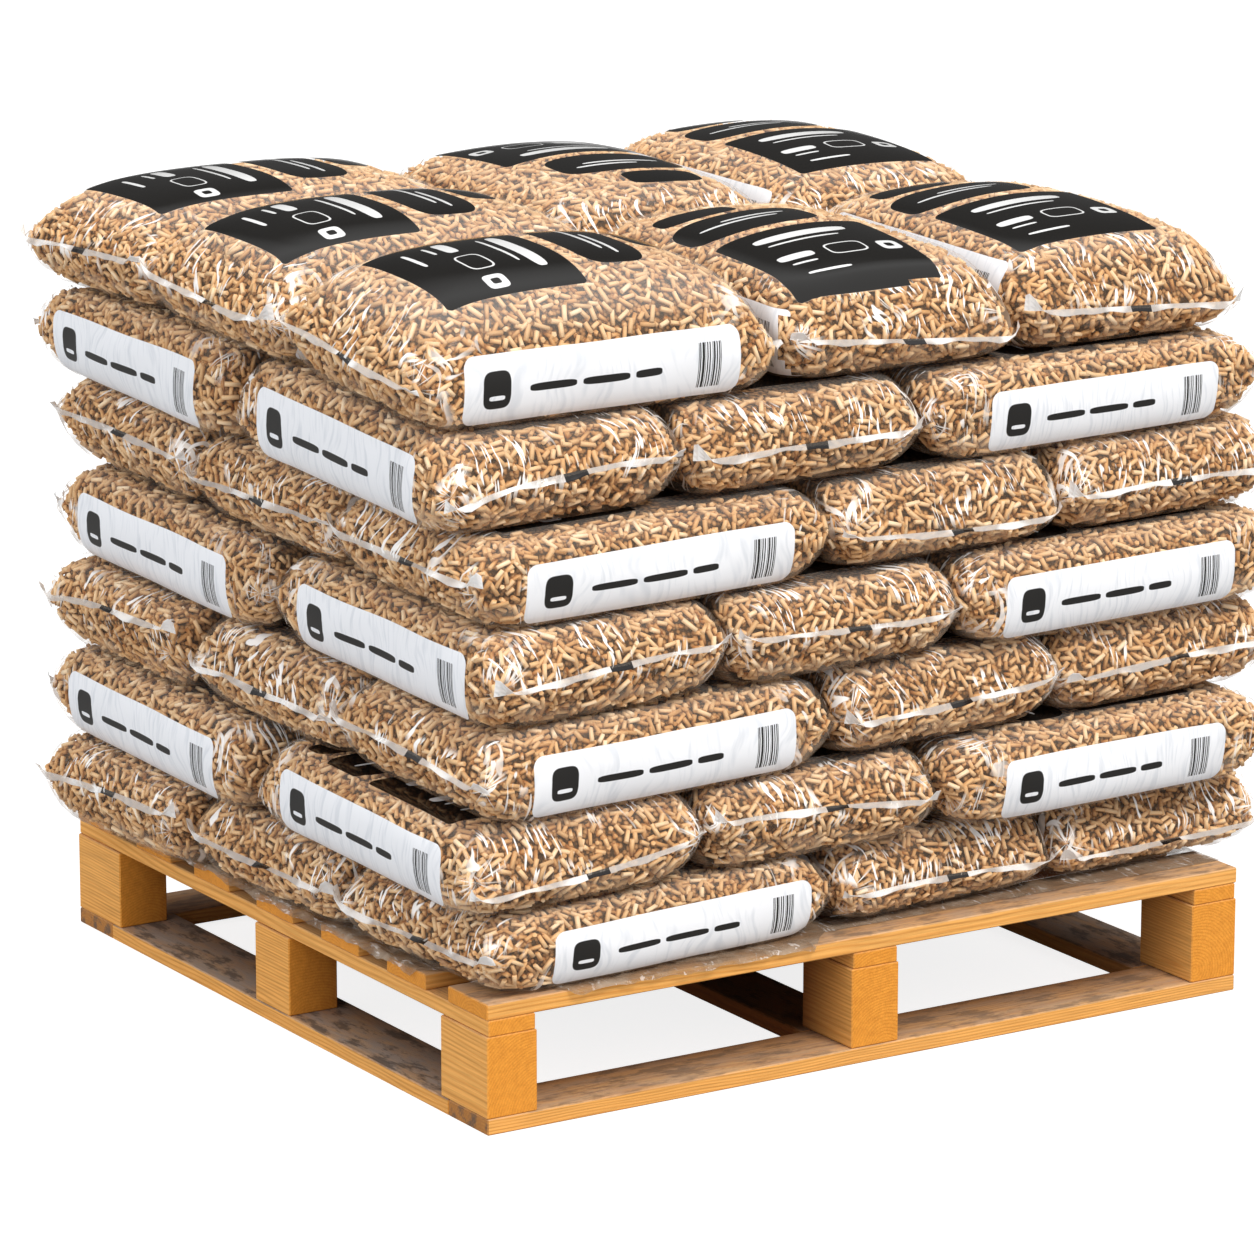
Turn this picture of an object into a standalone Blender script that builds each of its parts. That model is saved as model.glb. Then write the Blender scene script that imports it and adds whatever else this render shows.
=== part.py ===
# Loaded pallet: forty-nine clear film sacks of wood pellets in seven layers on a nailed
# pine pallet, with a thin plastic sheet between the deck boards and the bottom layer.
#
# Metres, +Z up. The origin is on the floor, under the middle of the pallet. The front of
# the stack faces -Y and its left side faces -X.
#
# Even layers and odd layers are laid in opposite bonds, so that each layer ties the one
# below. The four upper layers are separate sacks. In each of the three lower layers the
# seven sacks press together into one solid, with grooves between them.

import math

import bmesh
import bpy
from mathutils import Matrix, Vector

# Pallet
PALLET_LENGTH = 1.200
PALLET_DEPTH = 1.140
BOARD = 0.022
BLOCK_HEIGHT = 0.110
BLOCK_WIDTH = 0.075
BLOCK_DEPTHS = (0.119, 0.095, 0.126)
BOTTOM_BOARD_WIDTH = 0.100
STRINGER_WIDTH = 0.070
DECK_BOARD_WIDTH = 0.100
DECK_BOARD_FRONTS = (0.000, 0.158, 0.334, 0.513, 0.692, 0.862, 1.040)
EDGE_ROUND = 0.0015

# Plastic sheet on the deck
SHEET_LENGTH = 1.190
SHEET_DEPTH = 1.120
SHEET_THICKNESS = 0.001

# Sacks
SACK_LENGTH = 0.564
SACK_WIDTH = 0.372
LAYER_HEIGHT = 0.1255
PLAN_CORNER = 0.055
RIM_ROUND = 0.042
CROWN = 0.030
LEFT_CROWN = 0.046
CROWN_INSET = 0.070

# Each layer, bottom to top: the shift of its front left corner from the pallet's front
# left corner along X and Y, and its turn in degrees
LAYERS = (
    (-0.006, -0.021, 3.6),
    (-0.038, -0.020, 0.7),
    (-0.015, -0.024, 2.6),
    (-0.002, -0.025, 1.6),
    (-0.013, -0.004, 1.8),
    (-0.039, 0.035, 0.2),
    (-0.061, 0.071, -0.2),
)
FUSED_LAYERS = 3

# The layers have settled unevenly. How far the face under each layer, and last the top one,
# lies above its level place at the pallet's back left, front left and front right corners
SETTLED = (
    (0.000, 0.000, 0.000),
    (0.003, -0.014, -0.011),
    (0.005, -0.018, -0.017),
    (0.005, -0.022, -0.018),
    (0.007, -0.019, -0.020),
    (0.004, -0.027, -0.022),
    (0.003, -0.030, -0.024),
    (-0.002, -0.024, -0.016),
)

# Clearance between touching pieces, and the overlap that joins fused sacks
GAP = 0.0003
PRESS = 0.002

BOTTOM_TOP = BOARD
BLOCK_TOP = BOTTOM_TOP + BLOCK_HEIGHT
STRINGER_TOP = BLOCK_TOP + BOARD
DECK_TOP = STRINGER_TOP + BOARD
SACK_FLOOR = DECK_TOP + SHEET_THICKNESS


def clear_scene():
    for old in list(bpy.data.objects):
        bpy.data.objects.remove(old, do_unlink=True)


def new_collection(name):
    collection = bpy.data.collections.new(name)
    bpy.context.scene.collection.children.link(collection)
    return collection


def new_material(name, colour, roughness):
    material = bpy.data.materials.new(name)
    material.use_nodes = True
    shader = material.node_tree.nodes["Principled BSDF"]
    shader.inputs["Base Color"].default_value = (*colour, 1.0)
    shader.inputs["Roughness"].default_value = roughness
    shader.inputs["Metallic"].default_value = 0.0
    return material


def new_object(name, mesh_builder, material, collection):
    mesh = bpy.data.meshes.new(name)
    mesh_builder.to_mesh(mesh)
    mesh_builder.free()
    mesh.materials.append(material)
    piece = bpy.data.objects.new(name, mesh)
    collection.objects.link(piece)
    return piece


def timber(name, low, high, material, collection):
    """A sawn board or block between two opposite corners, clear of the neighbours past high."""
    size = [high[i] - low[i] - GAP for i in range(3)]
    centre = [low[i] + size[i] / 2 for i in range(3)]
    mesh_builder = bmesh.new()
    bmesh.ops.create_cube(mesh_builder, size=1.0)
    bmesh.ops.scale(mesh_builder, vec=size, verts=mesh_builder.verts)
    bmesh.ops.bevel(mesh_builder, geom=mesh_builder.edges[:], offset=EDGE_ROUND, segments=1,
                    affect="EDGES")
    piece = new_object(name, mesh_builder, material, collection)
    piece.location = centre
    return piece


def on_pallet(x, y, z):
    """A point given from the pallet's front left bottom corner."""
    return (x - PALLET_LENGTH / 2, y - PALLET_DEPTH / 2, z)


def build_pallet(collection):
    pine = new_material("pine", (0.72, 0.42, 0.16), 0.7)
    block_depth_starts = (0.0,
                          (PALLET_DEPTH - BLOCK_DEPTHS[1]) / 2,
                          PALLET_DEPTH - BLOCK_DEPTHS[2])
    columns = (("left", 0.0),
               ("centre", (PALLET_LENGTH - BLOCK_WIDTH) / 2),
               ("right", PALLET_LENGTH - BLOCK_WIDTH))
    back_start = PALLET_DEPTH - BOTTOM_BOARD_WIDTH

    for name, start in (("front", 0.0), ("back", back_start)):
        timber("bottom_board_" + name,
               on_pallet(0, start, 0),
               on_pallet(PALLET_LENGTH, start + BOTTOM_BOARD_WIDTH, BOTTOM_TOP),
               pine, collection)
    bottom_starts = (0.0,
                     (PALLET_LENGTH - BOTTOM_BOARD_WIDTH) / 2,
                     PALLET_LENGTH - BOTTOM_BOARD_WIDTH)
    for (name, _), start in zip(columns, bottom_starts):
        timber("bottom_board_" + name,
               on_pallet(start, BOTTOM_BOARD_WIDTH, 0),
               on_pallet(start + BOTTOM_BOARD_WIDTH, back_start, BOTTOM_TOP),
               pine, collection)

    for row, depth, y in zip(("front", "middle", "back"), BLOCK_DEPTHS, block_depth_starts):
        for column, x in columns:
            timber("block_%s_%s" % (row, column),
                   on_pallet(x, y, BOTTOM_TOP),
                   on_pallet(x + BLOCK_WIDTH, y + depth, BLOCK_TOP),
                   pine, collection)

    for column, x in columns:
        inset = (BLOCK_WIDTH - STRINGER_WIDTH) / 2
        timber("stringer_" + column,
               on_pallet(x + inset, 0, BLOCK_TOP),
               on_pallet(x + inset + STRINGER_WIDTH, PALLET_DEPTH, STRINGER_TOP),
               pine, collection)

    for number, y in enumerate(DECK_BOARD_FRONTS, start=1):
        timber("deck_board_%d" % number,
               on_pallet(0, y, STRINGER_TOP),
               on_pallet(PALLET_LENGTH, y + DECK_BOARD_WIDTH, DECK_TOP),
               pine, collection)


def build_sheet(collection):
    film = new_material("sheet_film", (0.60, 0.55, 0.50), 0.3)
    x = (PALLET_LENGTH - SHEET_LENGTH) / 2
    y = (PALLET_DEPTH - SHEET_DEPTH) / 2
    mesh_builder = bmesh.new()
    bmesh.ops.create_cube(mesh_builder, size=1.0)
    bmesh.ops.scale(mesh_builder, vec=(SHEET_LENGTH, SHEET_DEPTH, SHEET_THICKNESS - GAP),
                    verts=mesh_builder.verts)
    sheet = new_object("deck_sheet", mesh_builder, film, collection)
    sheet.location = on_pallet(x + SHEET_LENGTH / 2, y + SHEET_DEPTH / 2,
                               DECK_TOP + (SHEET_THICKNESS - GAP) / 2)


def layer_places(odd_bond):
    """Each sack of a layer: its middle from the layer's corner, and True if it lies along X."""
    half_long = SACK_LENGTH / 2
    half_wide = SACK_WIDTH / 2
    places = []
    for i in range(3):
        x = half_long if odd_bond else 2 * SACK_WIDTH + half_long
        places.append((x, half_wide + i * SACK_WIDTH, True))
    first_x = SACK_LENGTH if odd_bond else 0.0
    for column in range(2):
        for row in range(2):
            places.append((first_x + half_wide + column * SACK_WIDTH,
                           half_long + row * SACK_LENGTH, False))
    return places


def settled(point, layer):
    """Moves a point of a layer along with the planes that its lower and upper faces lie in."""
    leftward = 0.5 - point.x / PALLET_LENGTH
    backward = 0.5 + point.y / PALLET_DEPTH
    moves = [front_right + (front_left - front_right) * leftward
             + (back_left - front_left) * backward
             for back_left, front_left, front_right in SETTLED[layer:layer + 2]]
    share = min(max((point.z - SACK_FLOOR) / LAYER_HEIGHT - layer, 0.0), 1.0)
    return Vector((point.x, point.y, point.z + moves[0] * (1.0 - share) + moves[1] * share))


def sack_mesh(place, layer, grow, crown):
    """One sack as a rounded, flat-lying pillow in its place in the stack."""
    x, y, along_x = place
    size_x, size_y = (SACK_LENGTH, SACK_WIDTH) if along_x else (SACK_WIDTH, SACK_LENGTH)
    height = LAYER_HEIGHT - GAP
    mesh_builder = bmesh.new()
    bmesh.ops.create_cube(mesh_builder, size=1.0)
    bmesh.ops.scale(mesh_builder, vec=(size_x + grow, size_y + grow, height),
                    verts=mesh_builder.verts)
    upright = [e for e in mesh_builder.edges if abs(e.verts[0].co.z - e.verts[1].co.z) > 0.01]
    bmesh.ops.bevel(mesh_builder, geom=upright, offset=PLAN_CORNER, segments=2, profile=0.5,
                    affect="EDGES")
    rim = [e for e in mesh_builder.edges if abs(e.verts[0].co.z - e.verts[1].co.z) < 0.01]
    bmesh.ops.bevel(mesh_builder, geom=rim, offset=RIM_ROUND, segments=3, profile=0.5,
                    affect="EDGES")
    if crown:
        top = [f for f in mesh_builder.faces if f.normal.z > 0.99]
        bmesh.ops.inset_region(mesh_builder, faces=top, thickness=CROWN_INSET,
                               use_even_offset=True)
        shoulder = {v for face in top for v in face.verts}
        bmesh.ops.translate(mesh_builder, verts=list(shoulder), vec=(0, 0, crown * 0.7))
        raised = bmesh.ops.poke(mesh_builder, faces=top)
        bmesh.ops.translate(mesh_builder, verts=raised["verts"], vec=(0, 0, crown * 0.3))
    shift_x, shift_y, turn = LAYERS[layer]
    corner = on_pallet(shift_x, shift_y, SACK_FLOOR + (layer + 0.5) * LAYER_HEIGHT)
    to_world = (Matrix.Translation(corner)
                @ Matrix.Rotation(math.radians(turn), 4, "Z")
                @ Matrix.Translation((x, y, 0)))
    for vert in mesh_builder.verts:
        vert.co = settled(to_world @ vert.co, layer)
    return mesh_builder


def build_separate_layer(layer, film, collection):
    for number, place in enumerate(layer_places(layer % 2 == 0), start=1):
        crown = 0.0
        if layer == len(LAYERS) - 1:
            crown = LEFT_CROWN if place[2] else CROWN
        name = "sack_layer%d_%d" % (layer + 1, number)
        new_object(name, sack_mesh(place, layer, -GAP, crown), film, collection)


def build_fused_layer(layer, film, collection, cutters):
    places = layer_places(layer % 2 == 0)
    name = "sacks_layer%d" % (layer + 1)
    whole = new_object(name, sack_mesh(places[0], layer, PRESS, 0.0), film, collection)
    for number, place in enumerate(places[1:], start=2):
        tool = new_object("%s_tool_%d" % (name, number), sack_mesh(place, layer, PRESS, 0.0),
                          film, cutters)
        tool.hide_render = True
        tool.display_type = "WIRE"
        union = whole.modifiers.new("sack_%d" % number, "BOOLEAN")
        union.operation = "UNION"
        union.solver = "EXACT"
        union.object = tool


def build_stack(collection, cutters):
    film = new_material("sack_film_and_pellets", (0.66, 0.49, 0.33), 0.25)
    for layer in range(len(LAYERS)):
        if layer < FUSED_LAYERS:
            build_fused_layer(layer, film, collection, cutters)
        else:
            build_separate_layer(layer, film, collection)


clear_scene()
parts = new_collection("pallet_of_sacks")
tools = new_collection("cutters")
build_pallet(parts)
build_sheet(parts)
build_stack(parts, tools)
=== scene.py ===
# Looks of the loaded pallet: clear film sacks of wood pellets, stacked seven layers high on
# a pine pallet. The boards keep their CAD solids. The sacks and the plastic sheet under them
# are modelled here in the places of theirs.

import math

import bmesh
import bpy
import numpy as np
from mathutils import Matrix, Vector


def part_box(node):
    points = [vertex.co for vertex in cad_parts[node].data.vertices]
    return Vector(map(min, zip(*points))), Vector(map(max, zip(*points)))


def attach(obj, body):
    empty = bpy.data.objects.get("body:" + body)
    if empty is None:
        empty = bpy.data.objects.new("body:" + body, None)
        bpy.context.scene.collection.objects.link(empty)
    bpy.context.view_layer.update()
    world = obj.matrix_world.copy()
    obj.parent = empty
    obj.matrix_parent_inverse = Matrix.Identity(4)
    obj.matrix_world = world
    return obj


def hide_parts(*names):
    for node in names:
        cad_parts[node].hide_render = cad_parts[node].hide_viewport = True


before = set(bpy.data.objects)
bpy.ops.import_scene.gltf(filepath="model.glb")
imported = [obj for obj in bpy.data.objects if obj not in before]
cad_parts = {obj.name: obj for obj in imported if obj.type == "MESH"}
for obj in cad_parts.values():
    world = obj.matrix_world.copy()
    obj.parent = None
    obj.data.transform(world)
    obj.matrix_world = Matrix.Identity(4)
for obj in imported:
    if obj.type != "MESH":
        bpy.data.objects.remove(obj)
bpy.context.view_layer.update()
scene = bpy.context.scene


# Camera
# A long lens at the photograph's place, a little above the stack and in front of its left
# corner.
camera_lens = bpy.data.cameras.new("camera")
camera_lens.lens = 180.1
camera_lens.clip_end = 60.0
camera = bpy.data.objects.new("camera", camera_lens)
camera.location = (-4.510, -7.156, 2.561)
camera.rotation_euler = (math.radians(76.149), 0.0, math.radians(-32.032))
scene.collection.objects.link(camera)
scene.camera = camera


# Studio
# A wide pale floor, a broad warm key lamp from the front, a weak cool one from the left, and
# a white room that is dark beyond the stack. Both lamps leave the floor out, so that only
# soft shade falls there.
FLOOR_GLOW = 0.82
ROOM_LIGHT = 0.92
AWAY_FROM_CAMERA = (0.53, 0.85, -0.35)


def new_material(name, fixed):
    """A material, its tree and its shader, some of whose inputs have the given values."""
    material = bpy.data.materials.new(name)
    material.use_nodes = True
    shader = material.node_tree.nodes["Principled BSDF"]
    for socket, value in fixed.items():
        shader.inputs[socket].default_value = value
    return material, material.node_tree, shader


floor_builder = bmesh.new()
bmesh.ops.create_grid(floor_builder, x_segments=1, y_segments=1, size=40.0)
floor_mesh = bpy.data.meshes.new("floor")
floor_builder.to_mesh(floor_mesh)
floor_builder.free()
floor = bpy.data.objects.new("floor", floor_mesh)
scene.collection.objects.link(floor)
floor_paint, floor_nodes, floor_shader = new_material("floor_paint", {
    "Base Color": (0.64, 0.63, 0.62, 1.0), "Roughness": 0.9,
    "Emission Color": (1.0, 1.0, 1.0, 1.0)})
seen = floor_nodes.nodes.new("ShaderNodeLightPath").outputs["Is Camera Ray"]
glow = floor_nodes.nodes.new("ShaderNodeMath")
glow.operation = "MULTIPLY"
glow.inputs[1].default_value = FLOOR_GLOW
floor_nodes.links.new(seen, glow.inputs[0])
floor_nodes.links.new(glow.outputs[0], floor_shader.inputs["Emission Strength"])
floor_paint.cycles.emission_sampling = "NONE"
floor_mesh.materials.append(floor_paint)

scene.view_settings.view_transform = "Standard"

room = bpy.data.worlds.new("room")
scene.world = room
room.use_nodes = True
backdrop = room.node_tree.nodes["Background"]
towards = room.node_tree.nodes.new("ShaderNodeTexCoord").outputs["Generated"]
behind = room.node_tree.nodes.new("ShaderNodeVectorMath")
behind.operation = "DOT_PRODUCT"
behind.inputs[1].default_value = AWAY_FROM_CAMERA
room.node_tree.links.new(towards, behind.inputs[0])
walls = room.node_tree.nodes.new("ShaderNodeValToRGB")
walls.color_ramp.elements[0].position = 0.25
walls.color_ramp.elements[0].color = (0.98, 0.99, 1.0, 1.0)
walls.color_ramp.elements[1].position = 0.60
walls.color_ramp.elements[1].color = (0.10, 0.10, 0.10, 1.0)
room.node_tree.links.new(behind.outputs["Value"], walls.inputs["Fac"])
room.node_tree.links.new(walls.outputs["Color"], backdrop.inputs["Color"])
backdrop.inputs["Strength"].default_value = ROOM_LIGHT

not_floor = bpy.data.collections.new("not_floor")
not_floor.objects.link(floor)
not_floor.collection_objects[0].light_linking.link_state = "EXCLUDE"
for lamp_name, strength, size, colour, tilt, turn in (
    ("key", 2.35, 16.0, (1.0, 0.97, 0.92), 38.0, 9.0),
    ("fill", 0.95, 50.0, (0.92, 0.96, 1.0), 64.0, -78.0),
):
    lamp_light = bpy.data.lights.new(lamp_name, "SUN")
    lamp_light.energy = strength
    lamp_light.angle = math.radians(size)
    lamp_light.color = colour
    lamp = bpy.data.objects.new(lamp_name, lamp_light)
    lamp.rotation_euler = (math.radians(tilt), 0.0, math.radians(turn))
    lamp.light_linking.receiver_collection = not_floor
    scene.collection.objects.link(lamp)


# Pallet timber
# Sawn pine, nailed: bottom boards, blocks, stringers and deck boards. Each piece is cut from
# its own log, so the grain runs along it from its own pith, and the ends show rings.
def link(tree, source, target):
    tree.links.new(source, target)


def put(tree, socket, value):
    """Links a socket to an input, or gives the input a fixed value."""
    if isinstance(value, bpy.types.NodeSocket):
        link(tree, value, socket)
    else:
        socket.default_value = value


def new_node(tree, kind, inputs, **settings):
    """A node with these settings, its inputs, by name or number, linked or given values."""
    node = tree.nodes.new(kind)
    for name, value in settings.items():
        setattr(node, name, value)
    for name, value in inputs.items():
        put(tree, node.inputs[name], value)
    return node


def maths(tree, operation, *values, clamp=False):
    return new_node(tree, "ShaderNodeMath", dict(enumerate(values)), operation=operation,
                    use_clamp=clamp).outputs[0]


def vector_maths(tree, operation, *values):
    node = new_node(tree, "ShaderNodeVectorMath", dict(enumerate(values)), operation=operation)
    return node.outputs["Value" if operation == "DOT_PRODUCT" else "Vector"]


def vector_of(tree, x, y, z=0.0):
    return new_node(tree, "ShaderNodeCombineXYZ", {"X": x, "Y": y, "Z": z}).outputs[0]


def parts_of(tree, vector):
    return new_node(tree, "ShaderNodeSeparateXYZ", {0: vector}).outputs


def attribute(tree, name, output="Fac"):
    return new_node(tree, "ShaderNodeAttribute", {}, attribute_name=name).outputs[output]


def new_group(name, inputs, outputs, tree_kind="ShaderNodeTree"):
    """A group with sockets of the given names and kinds, and the nodes at its two ends."""
    group = bpy.data.node_groups.new(name, tree_kind)
    for in_out, sockets in (("INPUT", inputs), ("OUTPUT", outputs)):
        for socket, kind in sockets:
            group.interface.new_socket(socket, in_out=in_out, socket_type="NodeSocket" + kind)
    return group, group.nodes.new("NodeGroupInput"), group.nodes.new("NodeGroupOutput")


def grouped(tree, group, *values):
    return new_node(tree, "ShaderNodeGroup", dict(enumerate(values)), node_tree=group).outputs


def ramp(tree, factor, *stops):
    node = tree.nodes.new("ShaderNodeValToRGB")
    while len(node.color_ramp.elements) < len(stops):
        node.color_ramp.elements.new(1.0)
    for element, (place, colour) in zip(node.color_ramp.elements, stops):
        element.position = place
        element.color = (*colour, 1.0) if len(colour) == 3 else (colour[0],) * 3 + (1.0,)
    link(tree, factor, node.inputs["Fac"])
    return node.outputs["Color"]


def blend_colour(tree, factor, first, second, blend_type="MIX"):
    first, second = (
        (*colour, 1.0) if isinstance(colour, tuple) else colour for colour in (first, second))
    return new_node(tree, "ShaderNodeMix", {0: factor, 6: first, 7: second},
                    data_type="RGBA", blend_type=blend_type).outputs[2]


def stretched(tree, vector, scale=(1.0, 1.0, 1.0), place=(0.0, 0.0, 0.0), turn=(0.0, 0.0, 0.0)):
    return new_node(tree, "ShaderNodeMapping", {
        "Vector": vector, "Location": place, "Rotation": turn, "Scale": scale}).outputs[0]


def noise_field(tree, vector, scale, detail=3.0, roughness=0.55, distortion=0.0):
    """Noise from 0 to 1. A scale of three numbers stretches it by its own amount on each axis."""
    if isinstance(scale, tuple):
        vector = stretched(tree, vector, scale)
        scale = 1.0
    return new_node(tree, "ShaderNodeTexNoise", {
        "Vector": vector, "Scale": scale, "Detail": detail, "Roughness": roughness,
        "Distortion": distortion}).outputs[0]


def bump(tree, height, strength, distance):
    return new_node(tree, "ShaderNodeBump", {
        "Height": height, "Strength": strength, "Distance": distance}).outputs[0]


# A growth ring is 4.2 mm wide
RING_RADIANS = 1500.0


def sawn_grain_group():
    """Growth rings round the X axis, saw marks and fine fibres."""
    group, ends_in, ends_out = new_group(
        "sawn_grain", [("Vector", "Vector")],
        [("Ring", "Float"), ("Fibre", "Float"), ("Height", "Float")])
    place = ends_in.outputs["Vector"]
    sway = noise_field(group, place, (1.2, 6.0, 6.0), 3.0)
    along, across, upward = parts_of(group, place)
    across = maths(group, "POWER", across, 2.0)
    upward = maths(group, "POWER", upward, 2.0)
    radius = maths(group, "SQRT", maths(group, "ADD", across, upward))
    radius = maths(group, "ADD", radius, maths(group, "MULTIPLY", sway, 0.045))
    ring = maths(group, "SINE", maths(group, "MULTIPLY", radius, RING_RADIANS))
    ring = maths(group, "ADD", maths(group, "MULTIPLY", ring, 0.5), 0.5)
    ring = maths(group, "POWER", ring, 1.7)
    fibre = noise_field(group, place, (10.0, 420.0, 420.0), 4.0, 0.6)
    saw = noise_field(group, place, (160.0, 22.0, 22.0), 2.0)
    height = maths(group, "ADD", maths(group, "MULTIPLY", fibre, 0.7),
                   maths(group, "MULTIPLY", ring, 0.25))
    height = maths(group, "ADD", height, maths(group, "MULTIPLY", saw, 0.35))
    link(group, ring, ends_out.inputs["Ring"])
    link(group, fibre, ends_out.inputs["Fibre"])
    link(group, height, ends_out.inputs["Height"])
    return group


sawn_grain = sawn_grain_group()
PINE_PALE = (0.88, 0.43, 0.105)
PINE_DARK = (0.66, 0.265, 0.045)
END_GRAIN = (0.98, 0.84, 0.45)
PINE_STAIN = (0.40, 0.31, 0.25)
INNER_SHADE = (0.20, 0.10, 0.03)


def pine_material(name, along_x, pith, dirt, grey_ends):
    """Pine with its grain along X or Y. Dirt lies on the upper faces, from 0 to 1."""
    material, tree, shader = new_material(name, {
        "Roughness": 0.72, "Specular IOR Level": 0.25})
    place = tree.nodes.new("ShaderNodeTexCoord").outputs["Object"]
    turn = (0.0, 0.0, 0.0) if along_x else (0.0, 0.0, math.radians(90.0))
    log = stretched(tree, place, place=pith, turn=turn)
    grain = grouped(tree, sawn_grain, log)
    broad = noise_field(tree, log, (3.0, 9.0, 9.0), 2.0)
    wood = ramp(tree, grain["Ring"], (0.0, PINE_PALE), (1.0, PINE_DARK))
    wood = blend_colour(tree, maths(tree, "MULTIPLY", broad, 0.55), wood, (0.84, 0.45, 0.14))
    shade = ramp(tree, grain["Fibre"], (0.30, (0.72,)), (0.62, (1.0,)))
    wood = blend_colour(tree, 1.0, wood, shade, "MULTIPLY")
    normal = tree.nodes.new("ShaderNodeNewGeometry")
    facing = parts_of(tree, normal.outputs["True Normal"])
    upward = maths(tree, "MULTIPLY", facing["Z"], 1.0, clamp=True)
    spots = noise_field(tree, log, (12.0, 40.0, 40.0), 5.0, 0.66)
    spots = ramp(tree, spots, (0.40, (0.60,)), (0.60, (1.0,)))
    soiled = maths(tree, "MULTIPLY", maths(tree, "MULTIPLY", upward, dirt), spots, clamp=True)
    wood = blend_colour(tree, soiled, wood, PINE_STAIN)
    end_face = maths(tree, "ABSOLUTE", facing["X"] if along_x else facing["Y"])
    mottle = noise_field(tree, place, 110.0, 3.0, 0.6)
    mottle = ramp(tree, mottle, (0.34, (0.62, 0.245, 0.038)), (0.66, (0.80, 0.355, 0.070)))
    sawn_end = blend_colour(tree, 0.50, wood, mottle)
    sawn_end = blend_colour(tree, 1.0, sawn_end, END_GRAIN, "MULTIPLY")
    wood = blend_colour(tree, end_face, wood, sawn_end)
    blotch = noise_field(tree, log, (18.0, 48.0, 48.0), 4.0, 0.68)
    blotch = ramp(tree, blotch, (0.49, (0.0,)), (0.60, (1.0,)))
    weathered = maths(tree, "MULTIPLY", maths(tree, "MULTIPLY", upward, dirt * 0.75), blotch)
    half_blotch = maths(tree, "ADD", maths(tree, "MULTIPLY", blotch, 0.45), 0.55)
    grey_end = maths(tree, "MULTIPLY", maths(tree, "MULTIPLY", end_face, grey_ends), half_blotch)
    weathered = maths(tree, "MAXIMUM", weathered, grey_end)
    wood = blend_colour(tree, weathered, wood, (0.10, 0.075, 0.06))
    depth = parts_of(tree, place)
    inside = []
    for axis, half in (("X", 0.600), ("Y", 0.570)):
        from_edge = maths(tree, "SUBTRACT", half, maths(tree, "ABSOLUTE", depth[axis]))
        inside.append(maths(tree, "MULTIPLY", from_edge, 8.0, clamp=True))
    inside = maths(tree, "MULTIPLY", inside[0], inside[1])
    shaded = blend_colour(tree, 1.0, wood, INNER_SHADE, "MULTIPLY")
    wood = blend_colour(tree, inside, wood, shaded)
    link(tree, wood, shader.inputs["Base Color"])
    link(tree, bump(tree, grain["Height"], 0.55, 0.0012), shader.inputs["Normal"])
    return material


def dress_timber(name, along_x, dirt, grey_ends):
    seed = sum(ord(letter) * (place + 3) for place, letter in enumerate(name))
    chance = np.random.default_rng(seed)
    low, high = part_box(name)
    middle = [(low[i] + high[i]) / 2 for i in range(3)]
    aside = chance.uniform(-0.05, 0.05)
    below = chance.uniform(0.03, 0.09)
    if along_x:
        pith = (0.0, -middle[1] + aside, -middle[2] + below)
    else:
        pith = (0.0, -middle[0] + aside, -middle[2] + below)
    solid = bpy.data.objects[name]
    material = pine_material("pine_" + name, along_x, pith, dirt, grey_ends)
    for slot in solid.material_slots:
        slot.material = material


for board in ("front", "back"):
    dress_timber("bottom_board_" + board, True, 0.65, 0.9)
for board in ("left", "centre", "right"):
    dress_timber("bottom_board_" + board, False, 1.0, 0.1)
for row in ("front", "middle", "back"):
    for column in ("left", "centre", "right"):
        dress_timber("block_%s_%s" % (row, column), False, 0.3, 0.0)
for column in ("left", "centre", "right"):
    dress_timber("stringer_" + column, False, 0.3, 0.0)
for number in range(1, 8):
    dress_timber("deck_board_%d" % number, True, 0.7, 0.1)


# Sacks
# Forty-nine tubes of clear polyethylene, each welded across both ends and holding 15 kg of
# wood pellets. They lie in seven layers of seven, in opposite bonds, and nothing ties them.
SACK_LENGTH = 0.564
SACK_WIDTH = 0.372
LAYER_HEIGHT = 0.1255
SACK_FLOOR = 0.177
PALLET_LENGTH = 1.200
PALLET_DEPTH = 1.140
LAYERS = (
    (-0.006, -0.021, 3.6),
    (-0.038, -0.020, 0.7),
    (-0.015, -0.024, 2.6),
    (-0.002, -0.025, 1.6),
    (-0.013, -0.004, 1.8),
    (-0.039, 0.035, 0.2),
    (-0.061, 0.071, -0.2),
)
# How far the face under each layer, and last the top one, lies above or below its level
# place: at the back left, front left and front right corners and half way along the left
SETTLED = (
    (0.000, 0.000, 0.000, 0.000),
    (0.008, -0.020, -0.006, 0.000),
    (0.010, -0.024, -0.012, 0.000),
    (0.013, -0.030, -0.010, 0.000),
    (0.014, -0.026, -0.013, 0.000),
    (0.012, -0.036, -0.014, 0.000),
    (0.004, -0.036, -0.022, 0.016),
    (-0.004, -0.028, -0.016, 0.016),
)
TOP_LAYER = len(LAYERS) - 1
FUSED_LAYERS = 3

# How far the back left sack of a layer has slid out towards the left
SLID_OUT = {(0, 3): 0.018, (1, 5): 0.016, (2, 3): 0.019, (3, 5): 0.020, (5, 5): 0.009}

SIDE_ROUND = (0.038, 0.033, 0.050)
END_ROUND = (0.044, 0.040, 0.060)
CORNER_AT_SEAM = 0.022
CORNER_AT_EDGE = (0.056, 0.050, 0.062)
WELD_WIDTH = 0.0080
EARS = (0.008, 0.006, 0.008, 0.006, 0.005, 0.005, 0.003)
EAR_HEIGHT = 0.015


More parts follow.
